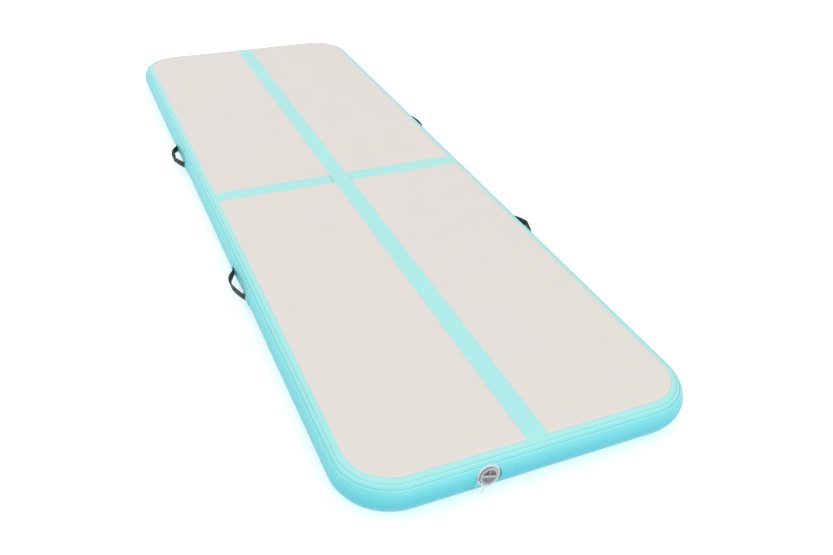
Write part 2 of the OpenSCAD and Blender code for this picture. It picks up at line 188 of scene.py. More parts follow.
def rim_path():
    """For each station: its place on the straight sides, from -1 to 1, and its outward normal."""
    left, right = ([HANDLE_Y[h] for h in HANDLE_NAMES if HANDLE_SIDE[h] == side] for side in (-1, 1))
    sides = [
        (side_stations(RIM_X - RIM_CORNER_R, [VALVE_X]), (1, 0), (0, -1)),
        (side_stations(RIM_Y - RIM_CORNER_R, right), (0, 1), (1, 0)),
        (side_stations(RIM_X - RIM_CORNER_R, []), (-1, 0), (0, 1)),
        (side_stations(RIM_Y - RIM_CORNER_R, left)[::-1] * -1, (0, -1), (-1, 0)),
    ]
    units, normals = [], []
    for places, along, out in sides:
        along, out = np.array(along, float), np.array(out, float)
        for place in places:
            units.append(along * place + out)
            normals.append(out)
        for i in range(1, CORNER_STEPS):
            turn = math.radians(90 * i / CORNER_STEPS)
            units.append(along + out)
            normals.append(out * math.cos(turn) + along * math.sin(turn))
    return np.array(units), np.array(normals)


UNITS, NORMALS = rim_path()
STATIONS = len(UNITS)


def ring(inset):
    """The rim's centre line moved inwards by inset, or outwards where inset is negative."""
    corner = max(RIM_CORNER_R - inset, 0)
    straight = np.array([RIM_X - inset - corner, RIM_Y - inset - corner])
    return UNITS * straight + NORMALS * corner


PATH_LENGTH = lengths_along(ring(-WALL_R))
IN_CORNER = np.minimum(np.abs(NORMALS[:, 0]), np.abs(NORMALS[:, 1])) * math.sqrt(2)


def rim_points(angles, radii):
    """Points of the rim, a row for each profile point and a column for each station."""
    rows = []
    for angle, radius in zip(np.radians(angles), radii):
        flat = ring(-radius * math.cos(angle))
        height = np.full(STATIONS, RIM_Z + radius * math.sin(angle))
        rows.append(np.column_stack([flat, height]))
    return np.array(rows)


def valve_place(points):
    """Points in the valve's own axes."""
    away = points - VALVE_AT
    return away @ VALVE_ACROSS, away @ VALVE_UP, away @ VALVE_OUT


# The wall is flat out to FLAT_R from the valve's axis, and is its own shape again beyond the dip
FLAT_R = 0.0325
DIP_ACROSS = 0.086
DIP_UP = 0.0425
MOST_OUT = 0.0016

# The wall's relief: raised pulls at a handle's ends with creases in them, a hollow behind its
# middle, and faint long waves; then the two periods of the gathers along the seams
PULL_PLACE = 0.084
PULL_WIDTH = 0.036
PULL_HEIGHT = 0.0012
HOLLOW_WIDTH = 0.060
HOLLOW_DEPTH = 0.0011
CREASE_PERIOD = 0.019
CREASE_HEIGHT = 0.00022
WAVE_HEIGHT = 0.00030
GATHER_PERIOD = 0.0270
FINE_GATHER_PERIOD = 0.0173
GATHER_HEIGHT = 0.00010


def seat_shift(nominal):
    """How far the wall moves out at each point so that it lies flat round the valve."""
    x, y, z = valve_place(nominal)
    away = np.hypot(x, y) + 1e-9
    sideways = (x / away) ** 4
    reach = DIP_UP + (DIP_ACROSS - DIP_UP) * sideways
    share = 1 - smooth((away - FLAT_R) / (reach - FLAT_R))
    return np.where(z > 0, share * np.minimum(SEAT_Z - z, MOST_OUT), 0)


def wall_relief(nominal):
    """Soft unevenness of the inflated wall: pulls at the handle ends and long faint waves."""
    x, y, z = nominal[..., 0], nominal[..., 1], nominal[..., 2]
    level = (z - RIM_Z) / WALL_R
    relief = np.zeros(x.shape)
    for handle, centre in HANDLE_Y.items():
        near = (x * HANDLE_SIDE[handle] > RIM_X) * hump(level, 0.75)
        along = y - centre
        pull = hump(np.abs(along) - PULL_PLACE, PULL_WIDTH)
        relief += near * (PULL_HEIGHT * pull - HOLLOW_DEPTH * hump(along, HOLLOW_WIDTH))
        crease = np.sin(along * 2 * math.pi / CREASE_PERIOD + 2.2 * level) * pull
        relief += near * CREASE_HEIGHT * crease * smooth(np.abs(level) * 2.2)
    relief += WAVE_HEIGHT * np.sin(x * 17 + 1.3) * np.cos(y * 11 + 0.4) * (1 - level**2)
    return relief


def corner_puckers(nominal):
    """Small gathers where the seams go round the corners, with fainter ones along the sides."""
    level = np.abs(nominal[..., 2] - RIM_Z) / WALL_R
    seam = hump(level - math.sin(math.radians(WALL_EDGE + 4)), 0.17)
    wave = np.sin(PATH_LENGTH * 2 * math.pi / GATHER_PERIOD)
    wave = wave + 0.6 * np.sin(PATH_LENGTH * 2 * math.pi / FINE_GATHER_PERIOD)
    return GATHER_HEIGHT * seam * wave * (0.12 + IN_CORNER)


def settle(points, angles):
    """Adds the wall's relief and the flat seat of the valve to points of the rim."""
    nominal = rim_points(angles, np.full(len(angles), WALL_R))
    tilt = np.radians(angles)[:, None, None]
    flat_out = np.broadcast_to(NORMALS, (len(angles), STATIONS, 2)) * np.cos(tilt)
    out = np.concatenate([flat_out, np.broadcast_to(np.sin(tilt), flat_out.shape[:2] + (1,))], 2)
    relief = wall_relief(nominal) + corner_puckers(nominal)
    return points + out * relief[..., None] + seat_shift(nominal)[..., None] * VALVE_OUT


# ---- Materials ----
class Shader:
    """A Principled material with short ways to add the nodes that feed it."""

    def __init__(self, name, **sockets):
        self.material = bpy.data.materials.new(name)
        self.material.use_nodes = True
        self.tree = self.material.node_tree
        self.bsdf = self.tree.nodes["Principled BSDF"]
        self.place = self.add("ShaderNodeTexCoord").outputs["Object"]
        for key, value in sockets.items():
            self.bsdf.inputs[key.replace("_", " ")].default_value = value

    def add(self, kind, settings=None, **inputs):
        node = self.tree.nodes.new(kind)
        for key, value in (settings or {}).items():
            setattr(node, key, value)
        for key, value in inputs.items():
            self.feed(node.inputs[key.replace("_", " ")], value)
        return node

    def feed(self, socket, value):
        if isinstance(value, bpy.types.NodeSocket):
            self.tree.links.new(value, socket)
        else:
            socket.default_value = value

    def to(self, key, value):
        self.feed(self.bsdf.inputs[key], value)

    def noise(self, size, detail=3.0, roughness=0.5, place=None):
        """Noise whose features are about size across."""
        return self.add("ShaderNodeTexNoise", Vector=place or self.place, Scale=1 / size,
                        Detail=detail, Roughness=roughness).outputs["Fac"]

    def bands(self, direction, period, distortion=0.0, place=None):
        """Even bands, 0 to 1, one for each period along the direction."""
        settings = {"bands_direction": direction}
        return self.add("ShaderNodeTexWave", settings, Vector=place or self.place,
                        Scale=math.pi / 10 / period, Distortion=distortion,
                        Detail=1.0, Detail_Scale=1.0).outputs["Fac"]

    def math(self, operation, a, b=0.0, c=0.0):
        node = self.add("ShaderNodeMath", {"operation": operation})
        for socket, value in zip(node.inputs, (a, b, c)):
            self.feed(socket, value)
        return node.outputs[0]

    def height(self):
        """The Z coordinate of the point on the piece, at rest."""
        return self.add("ShaderNodeSeparateXYZ", Vector=self.place).outputs["Z"]

    def ramp(self, value, stops):
        node = self.add("ShaderNodeValToRGB", Fac=value)
        ramp = node.color_ramp
        while len(ramp.elements) < len(stops):
            ramp.elements.new(0.5)
        for element, (place, colour) in zip(ramp.elements, stops):
            element.position = place
            element.color = (*colour, 1.0) if len(colour) == 3 else colour
        return node.outputs["Color"]

    def tint(self, colour, value, low, high):
        """The colour times a grey that runs from low to high with value."""
        grey = self.ramp(value, [(0.0, (low,) * 3), (1.0, (high,) * 3)])
        return self.mix(colour, grey, 1.0, "MULTIPLY")

    def mix(self, a, b, factor, blend_type="MIX"):
        """Colours a and b mixed; input 0 is the factor, and 6 and 7 are the colours."""
        node = self.add("ShaderNodeMix", {"data_type": "RGBA", "blend_type": blend_type})
        self.feed(node.inputs[0], factor)
        for socket, given in zip((node.inputs[6], node.inputs[7]), (a, b)):
            self.feed(socket, given if isinstance(given, bpy.types.NodeSocket) else (*given, 1.0))
        return node.outputs[2]

    def bump(self, *layers):
        """Bump layers, each a height from 0 to 1 and its depth in metres."""
        normal = None
        for height, depth in layers:
            node = self.add("ShaderNodeBump", Height=height, Distance=depth, Strength=1.0)
            if normal is not None:
                self.feed(node.inputs["Normal"], normal)
            normal = node.outputs["Normal"]
        self.to("Normal", normal)


def weave(shader, size):
    """The over-and-under of a plain weave, showing through a coating."""
    x = shader.bands("X", size)
    y = shader.bands("Y", size)
    z = shader.bands("Z", size)
    return shader.math("MAXIMUM", shader.math("MULTIPLY", x, y), shader.math("MULTIPLY", z, 0.7))


# How strongly the fabric gathers at each height, from the ground, 0, to the deck, 1
GATHER_STOPS = [
    (0.00, (0.3,) * 3), (0.16, (1.0,) * 3), (0.32, (0.12,) * 3), (0.62, (0.12,) * 3),
    (0.78, (0.8,) * 3), (0.86, (1.0,) * 3), (0.93, (0.9,) * 3), (1.00, (0.1,) * 3),
]


def turquoise_fabric(name, stops, roughness):
    """Coated fabric whose turquoise follows the height, so that the stops can paint light and shade into it:
    stops run from the ground, 0, to the deck, 1.
    """
    shader = Shader(name, Specular_IOR_Level=0.45, Coat_Weight=0.12, Coat_Roughness=0.35,
                    Sheen_Weight=0.08, Sheen_Roughness=0.4)
    level = shader.math("DIVIDE", shader.height(), DECK_Z)
    # The ramp by height paints the light and shade held in the stops into the base colour
    colour = shader.ramp(level, stops)
    colour = shader.tint(colour, shader.noise(0.22, 2), 0.965, 1.03)
    colour = shader.tint(colour, shader.noise(0.0016, 2), 0.985, 1.015)
    shader.to("Base Color", colour)
    rough = shader.math("MULTIPLY_ADD", shader.noise(0.03, 4), 0.14, roughness - 0.07)
    shader.to("Roughness", rough)
    upright = shader.add("ShaderNodeMapping", Vector=shader.place, Scale=(1.0, 1.0, 0.22))
    folds = shader.noise(0.0125, 1.5, 0.4, upright.outputs["Vector"])
    gathers = shader.math("MULTIPLY", folds, shader.ramp(level, GATHER_STOPS))
    shader.bump((shader.noise(0.045, 3), 0.00035), (gathers, 0.0016), (weave(shader, 0.0011), 0.000035),
                (shader.noise(0.0007, 2), 0.00002))
    return shader.material


def deck_fabric(name, colour, rib=0.0065):
    """Matt coated fabric with the faint ribs of the stitched threads beneath it."""
    shader = Shader(name, Specular_IOR_Level=0.3, Sheen_Weight=0.12, Sheen_Roughness=0.5)
    warm = tuple(c * k for c, k in zip(colour, (1.012, 0.995, 0.975)))
    cool = tuple(c * k for c, k in zip(colour, (0.985, 0.995, 1.005)))
    tone = shader.mix(warm, cool, shader.noise(0.55, 2))
    tone = shader.tint(tone, shader.noise(0.11, 3), 0.975, 1.02)
    tone = shader.tint(tone, shader.noise(0.0022, 2), 0.975, 1.02)
    ribs = shader.bands("Y", rib, 0.6)
    tone = shader.tint(tone, ribs, 0.992, 1.0)
    shader.to("Base Color", tone)
    shader.to("Roughness", shader.math("MULTIPLY_ADD", shader.noise(0.02, 4), 0.16, 0.60))
    shader.bump((shader.noise(0.09, 2), 0.0005), (ribs, 0.00005), (weave(shader, 0.0013), 0.00004),
                (shader.noise(0.0012, 3), 0.00005))
    return shader.material


def webbing_fabric(name, colour):
    """Woven polypropylene webbing: close ribs across it and a chevron along it."""
    shader = Shader(name, Specular_IOR_Level=0.25, Sheen_Weight=0.08, Sheen_Roughness=0.35)
    chevron = shader.bands("DIAGONAL", 0.0021)
    ribs = shader.bands("Z", 0.0017)
    weave_height = shader.math("MULTIPLY", shader.math("ADD", chevron, ribs), 0.5)
    tone = shader.tint(colour, weave_height, 0.55, 1.5)
    tone = shader.tint(tone, shader.noise(0.012, 3), 0.8, 1.25)
    shader.to("Base Color", tone)
    shader.to("Roughness", shader.math("MULTIPLY_ADD", weave_height, 0.2, 0.55))
    shader.bump((shader.noise(0.006, 2), 0.0003), (weave_height, 0.00022))
    return shader.material


def plastic(name, colour, roughness, spread=0.06, recess_shade=None, **sockets):
    """Moulded plastic with a fine spark texture and slight cloudiness.

    If given, two heights along the valve's axis for painted shade in the cap's pockets: the colour is
    darkest, 0.46 of itself, at the first height and below, and the shade fades out by the second.
    """
    shader = Shader(name, **sockets)
    tone = shader.tint(colour, shader.noise(0.008, 3), 1 - spread, 1 + spread)
    if recess_shade:
        axis = shader.add("ShaderNodeVectorMath", {"operation": "DOT_PRODUCT"})
        shader.feed(axis.inputs[0], shader.place)
        shader.feed(axis.inputs[1], tuple(float(c) for c in VALVE_OUT))
        start = float(VALVE_AT @ VALVE_OUT)
        depth = shader.add("ShaderNodeMapRange", Value=axis.outputs["Value"],
                           From_Min=start + recess_shade[0], From_Max=start + recess_shade[1]).outputs["Result"]
        # Painted shade: the colour darkens deeper in the cap's pockets, where shade falls
        tone = shader.tint(tone, depth, 0.46, 1.0)
    tone = shader.tint(tone, shader.noise(0.0008, 2), 0.97, 1.03)
    shader.to("Base Color", tone)
    shader.to("Roughness", shader.math("MULTIPLY_ADD", shader.noise(0.004, 3), 0.16, roughness - 0.08))
    shader.bump((shader.noise(0.0005, 2), 0.00002))
    return shader.material


def thread(name, colour, period):
    """Twisted yarn."""
    shader = Shader(name, Specular_IOR_Level=0.4, Sheen_Weight=0.3)
    twist = shader.bands("DIAGONAL", period)
    shader.to("Base Color", shader.tint(colour, twist, 0.72, 1.1))
    shader.to("Roughness", shader.math("MULTIPLY_ADD", twist, 0.2, 0.5))
    shader.bump((twist, period * 0.2))
    return shader.material


def spring_wire(name):
    """Drawn steel wire."""
    shader = Shader(name, Metallic=1.0)
    shader.to("Base Color", shader.tint((0.62, 0.62, 0.64), shader.noise(0.0015, 3), 0.85, 1.1))
    shader.to("Roughness", shader.math("MULTIPLY_ADD", shader.noise(0.0008, 2), 0.15, 0.22))
    shader.bump((shader.noise(0.0003, 2), 0.00001))
    return shader.material


# Painted light and shade on the outer wall, by height from the ground, 0, to the deck, 1: a deep, darker
# turquoise on the lower half that turns paler and lighter towards the top, as if lit from above
WALL_SHADE_STOPS = [
    (0.00, (0.110, 0.440, 0.460)), (0.20, (0.080, 0.430, 0.480)), (0.42, (0.062, 0.440, 0.535)),
    (0.55, (0.082, 0.480, 0.565)), (0.72, (0.130, 0.565, 0.610)), (0.80, (0.165, 0.600, 0.630)),
    (0.825, (0.215, 0.660, 0.670)), (0.85, (0.215, 0.660, 0.670)),
]
# Painted light and shade on the seam strips and edge tapes, by height: lighter near the ground, as the
# floor's bounce would light them; a painted highlight band on the upper strip's raised top edge, with a
# painted shade line just above it where the tape tucks under; and lighter again on the top tape, which faces
# up to the light
TAPE_SHADE_STOPS = [
    (0.00, (0.300, 0.640, 0.650)), (0.16, (0.210, 0.620, 0.650)), (0.85, (0.215, 0.640, 0.650)),
    (0.895, (0.255, 0.665, 0.670)), (0.915, (0.310, 0.720, 0.710)), (0.927, (0.310, 0.720, 0.710)),
    (0.935, (0.280, 0.680, 0.675)), (0.96, (0.345, 0.725, 0.710)), (0.99, (0.350, 0.725, 0.705)),
]
LINE_TURQUOISE = (0.355, 0.745, 0.722)
BEIGE = (0.700, 0.662, 0.628)
MATERIALS = {
    "wall": turquoise_fabric("wall_fabric", WALL_SHADE_STOPS, 0.44),
    "tape": turquoise_fabric("tape_fabric", TAPE_SHADE_STOPS, 0.42),
    "line": turquoise_fabric("line_fabric", [(0.0, LINE_TURQUOISE), (1.0, LINE_TURQUOISE)], 0.46),
    "deck": deck_fabric("deck_fabric", BEIGE),
    "base": deck_fabric("base_fabric", tuple(0.93 * c for c in BEIGE), 0.009),
    "webbing": webbing_fabric("webbing", (0.018, 0.030, 0.026)),
    "seam_thread": thread("seam_thread", (0.235, 0.275, 0.250), 0.0009),
    "drop_thread": thread("drop_thread", (0.78, 0.78, 0.76), 0.0012),
    "bead": plastic("flange_plastic", (0.58, 0.60, 0.64), 0.28, Coat_Weight=0.3),
    # The cap gets painted shade in its pockets, below the top of its dish
    "cap": plastic("cap_plastic", (0.34, 0.35, 0.37), 0.32, recess_shade=(DISH_Z, CAP_TOP - 0.0012),
                   Coat_Weight=0.25),
    "inner": plastic("inner_plastic", (0.62, 0.63, 0.65), 0.40),
    "rubber": plastic("seal_rubber", (0.05, 0.05, 0.055), 0.62, 0.15),
    "boot": plastic("boot_plastic", (0.27, 0.74, 0.79), 0.45, 0.03),
    "spring": spring_wire("spring_wire"),
    "clear": plastic("clear_plastic", (0.86, 0.95, 0.97), 0.16, 0.02,
                     Transmission_Weight=0.55, IOR=1.46, Coat_Weight=0.4),
}


# ---- Rim layers ----
# A lip is a raised welded edge, and a tuck is the hollow where a layer goes under the next one
LIP_HEIGHT = 0.00085
LIP_WIDTH = 0.0032
TUCK_DEPTH = 0.00035
TUCK_WIDTH = 0.0026
EDGE_ROUND = 0.0005


def band_section(low, high, lips, tucks, steps):
    """A closed section of a layer: its outer face, then its inner face coming back."""
    turn = np.linspace(0, math.pi, steps)
    angles = low + (high - low) * (1 - np.cos(turn)) / 2
    from_low = np.radians(angles - low) * WALL_R
    from_high = np.radians(high - angles) * WALL_R
    radii = np.full(steps, WALL_R)
    for edge, distance in (("low", from_low), ("high", from_high)):
        if edge in lips:
            radii += LIP_HEIGHT * hump(distance, LIP_WIDTH)
        if edge in tucks:
            radii -= TUCK_DEPTH * hump(distance, TUCK_WIDTH)
        radii -= EDGE_ROUND * (1 - np.sqrt(1 - np.clip(1 - distance / EDGE_ROUND, 0, 1) ** 2))
    inner = angles[:: -max(1, steps // 8)]
    angles = np.concatenate([angles, inner])
    radii = np.concatenate([radii, np.full(len(inner), WALL_R - 2 * FABRIC)])
    return angles, radii


# The layers are left out within this distance of the valve's axis, under its flange
OPENING_R = 0.0285


def rim_band(name, section, material, node, keep=None, flip=False):
    """A layer of the rim swept round the mat; keep says which faces, by their middle, it has."""
    angles, radii = section
    if flip:
        angles = -angles
    points = settle(rim_points(angles, radii), angles)
    flat = points.reshape(-1, 3)
    x, y, z = valve_place(flat)
    hidden = (np.hypot(x, y) < OPENING_R) & (z > 0)
    faces = [f for f in grid_faces(len(angles), STATIONS, True, True)
             if not all(hidden[list(f)]) and (keep is None or keep(flat[list(f)].mean(0)))]
    piece = mesh_piece(name, flat, faces, material)
    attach(piece, "mat")
    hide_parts(node)
    return piece


def outer_wall():
    """The outer wall in its three lengths, cut from one continuous surface."""
    section = band_section(-WALL_EDGE, WALL_EDGE, ("low", "high"), (), 47)
    lengths = {
        "left_side_wall": lambda c: c[0] < 0 and (c[1] > 0 or c[0] < PANEL_X[0]),
        "right_side_wall": lambda c: c[0] > 0 or (c[1] < 0 and c[0] > PANEL_X[1]),
        "valve_wall_panel": lambda c: c[1] < 0 and PANEL_X[0] < c[0] < PANEL_X[1],
    }
    for node, keep in lengths.items():
        piece = rim_band(node + "_skin", section, MATERIALS["wall"], node, keep)


def seam_layers():
    """The seam strips and edge tapes, above and below."""
    strip = band_section(WALL_EDGE, SKIN_EDGE, ("high",), ("low",), 22)
    tape = band_section(SKIN_EDGE, TAPE_EDGE, (), ("low",), 24)
    for name, section, node, flip in (
        ("upper_seam", strip, "upper_seam_strip", False),
        ("lower_seam", strip, "lower_seam_strip", True),
        ("top_edge", tape, "top_edge_tape", False),
        ("bottom_edge", tape, "bottom_edge_tape", True),
    ):
        piece = rim_band(name, section, MATERIALS["tape"], node, flip=flip)


# ---- Deck and underside ----
INSETS = np.concatenate(
    [np.linspace(0, RIM_CORNER_R, 8)[1:], np.linspace(RIM_CORNER_R, RIM_X, 24)[1:]]
)
DECK_WAVE_HEIGHT = 0.00022
DECK_WAVE_FADE = 0.12


def deck_wave(x, y):
    """Faint long waves of the stitched deck, which die out at the rim."""
    inside = smooth((RIM_X - np.abs(x)) / DECK_WAVE_FADE) * smooth((RIM_Y - np.abs(y)) / DECK_WAVE_FADE)
    wave = np.sin(x * 19 + 0.7) * np.sin(y * 13 + 0.2) + 0.6 * np.sin(x * 7 - y * 9)
    return DECK_WAVE_HEIGHT * wave * inside


def skin(name, node, material, side):
    """The deck's or the underside's skin: the shoulder arc, then rings closing to the middle."""
    angles = np.linspace(SKIN_EDGE - 1, 90, 12)
    shoulder = rim_points(side * angles, np.full(len(angles), CORE_R))
    rings = []
    for inset in INSETS:
        flat = ring(inset)
        height = np.full(STATIONS, RIM_Z + side * CORE_R)
        if side > 0:
            height = height + deck_wave(flat[:, 0], flat[:, 1])
        rings.append(np.column_stack([flat, height]))
    points = np.concatenate([shoulder, np.array(rings)])
    piece = mesh_piece(name, points, grid_faces(len(points), STATIONS, wrap_columns=True), material)
    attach(piece, "mat")
    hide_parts(node)
    return piece


def skins():
    """Both skins, each cut as a flat sheet that reaches half-way down the shoulders."""
    for name, node, key, side in (
        ("deck_skin", "top_skin", "deck", 1),
        ("underside_skin", "bottom_skin", "base", -1),
    ):
        piece = skin(name, node, MATERIALS[key], side)


# ---- Lines on the deck ----
LINE_ROUND = 0.0007
LINE_SINK = 0.0004
LINE_STEP = 0.02


def line_section(width):
    """Half-widths and heights round a tape: rounded edges, a flat top and a sunk underside."""
    edge = np.linspace(0, math.pi / 2, 5)
    across = width / 2 - LINE_ROUND * (1 - np.cos(edge))
    up = FABRIC * np.sin(edge)
    middle = np.linspace(width / 2 - 2 * LINE_ROUND, 0, 5)
    half_across = np.concatenate([[width / 2], across, middle])
    half_up = np.concatenate([[-LINE_SINK], up, np.full(5, FABRIC)])
    return (np.concatenate([half_across, -half_across[-2::-1]]),
            np.concatenate([half_up, half_up[-2::-1]]))


def line_path(start, rim):
    """Rows of distance, height, and the outward and upward parts of the tape's facing."""
    flat = np.linspace(start, rim, max(6, int((rim - start) / LINE_STEP)))
    lean = np.radians(np.linspace(90, TAPE_EDGE, 8))[1:]
    distance = np.concatenate([flat, rim + CORE_R * np.cos(lean)])
    height = np.concatenate([np.full(len(flat), DECK_Z), RIM_Z + CORE_R * np.sin(lean)])
    out = np.concatenate([np.zeros(len(flat)), np.cos(lean)])
    up = np.concatenate([np.ones(len(flat)), np.sin(lean)])
    return np.column_stack([distance, height, out, up])


def line_tape(name, node, path, along, across, centre, width):
    """A raised tape along a path; along and across are its two directions on the deck."""
    side, lift = line_section(width)
    along, across, centre = (np.array(v, float) for v in (along, across, centre))
    points = []
    for distance, height, out, up in path:
        place = centre + along * distance
        line = place + across * side[:, None] + np.outer(lift * out, along)
        z = height + lift * up + deck_wave(line[:, 0], line[:, 1])
        points.append(np.column_stack([line, z]))
    piece = mesh_piece(name, np.array(points), tube_faces(len(path), len(side)), MATERIALS["line"])
    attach(piece, "mat")
    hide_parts(node)


def deck_lines():
    """The centre line, and the two cross lines that meet its edges."""
    towards_rear = line_path(0, RIM_Y)
    towards_valve = towards_rear[:0:-1] * [-1, 1, -1, 1]
    line_tape("centre_line", "centre_line_tape", np.concatenate([towards_valve, towards_rear]),
              (0, 1), (1, 0), (0, 0), LINE_WIDTH)
    for name, side in (("left_cross_line", -1), ("right_cross_line", 1)):
        line_tape(name, name + "_tape", line_path(LINE_WIDTH / 2 - LINE_ROUND, RIM_X),
                  (side, 0), (0, 1), (0, CROSS_LINE_Y), LINE_WIDTH)


# ---- Handles ----
# Each webbing's route in millimetres, from its rear end to its front end: place along the
# wall towards the rear, distance off the wall, rise, width, and how far it is folded
ROUTES = {
    "front_left": [
        (112, 0.7, 0, 25, 0), (98, 0.8, 0, 25, 0), (84, 1.0, 0, 25, 0), (71, 3.2, 0, 24, 0.1),
        (59, 9.4, 0, 22, 0.5), (46, 17.2, 0, 21, 0.8), (32, 23.2, 0, 20, 1), (16, 26.4, 0, 20, 1),
        (-1, 26.8, 0, 20, 1), (-19, 24.0, 0, 20, 1), (-36, 19.6, 0, 20, 1), (-51, 14.8, 0, 20, 1),
        (-65, 9.4, 0, 21, 0.6), (-76, 4.2, 0, 24, 0.1), (-88, 1.3, 0, 25, 0), (-104, 0.7, 0, 25, 0),
    ],
    "rear_left": [
        (108, 0.7, 0, 25, 0), (96, 0.8, 0, 25, 0), (84, 2.0, 0, 25, 0), (73, 8.6, 0, 25, 0),
        (63, 16.4, 0, 25, 0.1), (52, 20.6, 0, 25, 0.4), (38, 23.2, 0, 24, 0.8), (23, 26.2, 0, 23, 1),
        (8, 29.4, 0, 22, 1), (-6, 31.0, 0, 22, 1), (-17, 28.0, 0, 22, 1), (-34, 21.4, 0, 23, 0.9),
        (-52, 14.2, 0, 24, 0.5), (-65, 8.0, 0, 25, 0.2), (-76, 2.8, 0, 25, 0), (-90, 0.9, 0, 25, 0),
        (-106, 0.7, 0, 25, 0),
    ],
    "front_right": [
        (108, 0.7, 0, 25, 0), (92, 0.8, 0, 25, 0), (79, 1.8, 0, 25, 0), (68, 6.2, 0, 25, 0),
        (57, 13.2, 1, 25, 0.2), (43, 20.2, 2, 24, 0.5), (30, 26.4, 2, 23, 0.8), (17, 31.2, 2, 22, 1),
        (4, 29.2, 2, 22, 1), (-14, 23.6, 2, 22, 1), (-32, 18.6, 1, 22, 0.8), (-48, 13.2, 0, 23, 0.4),
        (-62, 7.0, 0, 25, 0.1), (-74, 2.2, 0, 25, 0), (-88, 0.9, 0, 25, 0), (-106, 0.7, 0, 25, 0),
    ],
    "rear_right": [
        (106, 0.7, 0, 25, 0), (92, 0.8, 0, 25, 0), (80, 2.2, 0, 25, 0), (68, 8.0, -1, 24, 0.2),
        (54, 15.8, -3, 22, 0.5), (38, 22.6, -5, 20, 0.9), (20, 27.0, -6, 19, 1), (0, 27.6, -7, 19, 1),
        (-20, 25.0, -6, 19, 1), (-38, 20.0, -5, 20, 0.9), (-54, 13.4, -3, 22, 0.5),
        (-68, 6.4, -1, 24, 0.2), (-80, 1.8, 0, 25, 0), (-92, 0.9, 0, 25, 0), (-106, 0.7, 0, 25, 0),
    ],
}
# How far, in degrees, the upper edge of each grip's rear part leans out from the wall
LEANS = {"front_left": 20, "rear_left": 30, "front_right": 0, "rear_right": 0}
LEAN_START = -0.022
LEAN_LENGTH = 0.040
# Where each handle's rear and front patch start, in millimetres from its middle
PATCH_STARTS = {
    "front_left": (84, 80), "rear_left": (86, 82), "front_right": (84, 80), "rear_right": (86, 86),
}
PATCH_END = 0.122
PATCH_HALF_WIDTH = 0.0230
PATCH_CORNER_R = 0.008
PATCH_HEIGHT = 0.0009
PATCH_EDGE = 0.0007
PATCH_SINK = 0.0002
PATCH_PUCKER = 0.00016
# The raised part of a patch, over the webbing: where it falls off, and how wide the fall is
UNDER_PATCH = (0.0150, 0.110)
UNDER_PATCH_FALL = (0.0035, 0.004)
FLAT_THICKNESS = 0.0015
FOLDED_THICKNESS = 0.0044
# How far off the wall the webbing stops following the wall's curve
LEAVES_WALL = 0.010
ROUTE_STEPS = 7
STITCH_LENGTH = 0.0038
STITCH_GAP = 0.0011
STITCH_R = 0.00042
# Places and depths across the webbing, as shares of its half width and thickness
STITCH_PLACE = 0.52
GROOVE_WIDTH = 0.13
GROOVE_DEPTH = 0.30


def smooth_route(points):
    """A Catmull-Rom curve through the points, with ROUTE_STEPS steps between each two."""
    p = np.array(points, float)
    p = np.vstack([2 * p[0] - p[1], p, 2 * p[-1] - p[-2]])
    out = []
    for i in range(1, len(p) - 2):
        for k in range(ROUTE_STEPS + (i == len(p) - 3)):
            t = k / ROUTE_STEPS
            out.append(0.5 * (2 * p[i] + (p[i + 1] - p[i - 1]) * t
                              + (2 * p[i - 1] - 5 * p[i] + 4 * p[i + 1] - p[i + 2]) * t * t
                              + (3 * p[i] - p[i - 1] - 3 * p[i + 1] + p[i + 2]) * t**3))
    return np.array(out)


class Webbing:
    """The route of one handle's webbing, with the frame of its section at each station."""

    def __init__(self, handle):
        self.side = HANDLE_SIDE[handle]
        self.centre = HANDLE_Y[handle]
        table = smooth_route(ROUTES[handle])
        self.u, self.v, self.rise, self.width = (table[:, i] * MM for i in range(4))
        self.fold = np.clip(table[:, 4], 0, 1)
        self.line = np.column_stack([self.v, self.u, self.rise])
        self.along = unit(np.gradient(self.line, axis=0))
        self.face = unit(np.cross([0.0, 0.0, 1.0], self.along))
        self.face *= np.where(self.face[:, :1] < 0, -1, 1)
        self.across = np.cross(self.along, self.face)
        self.across *= np.where(self.across[:, 2:] < 0, -1, 1)
        rear = smooth((self.u - LEAN_START) / LEAN_LENGTH)
        lean = math.radians(LEANS[handle]) * (smooth(self.fold) * rear)[:, None]
        self.across, self.face = (self.across * np.cos(lean) + self.face * np.sin(lean),
                                  self.face * np.cos(lean) - self.across * np.sin(lean))
        self.thickness = FLAT_THICKNESS + (FOLDED_THICKNESS - FLAT_THICKNESS) * smooth(self.fold)
        self.length = lengths_along(self.line)

    def surface(self, i, q, face, lift=0.0):
        """A point on the webbing: q runs from -1 to 1 across it, face is 1 outwards or -1."""
        rounding = (1 - abs(q) ** 7) ** 0.5
        groove = hump(abs(q) - STITCH_PLACE, GROOVE_WIDTH) * GROOVE_DEPTH * self.fold[i]
        half = self.thickness[i] / 2 * rounding * (1 - groove)
        place = (self.line[i] + self.across[i] * q * self.width[i] / 2
                 + self.face[i] * face * (half + lift))
        off = self.v[i] - FLAT_THICKNESS
        on_wall = 1 - smooth(off / LEAVES_WALL)
        sag = WALL_R - math.sqrt(max(WALL_R**2 - place[2] ** 2, 0))
        return np.array([place[0] - sag * on_wall, place[1], place[2]])

    def world(self, points):
        """Points of the webbing in the mat's frame."""
        p = np.asarray(points, float).reshape(-1, 3)
        return np.column_stack([self.side * (HALF_WIDTH + p[:, 0]), self.centre + p[:, 1],
                                RIM_Z + p[:, 2]])

    def at_length(self, distance):
        """The station, with its fraction, at a distance along the webbing."""
        return float(np.interp(distance, self.length, np.arange(len(self.length))))


def handle_blend(piece):
    """Bakes the piece's transform into its points."""
    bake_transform(piece)


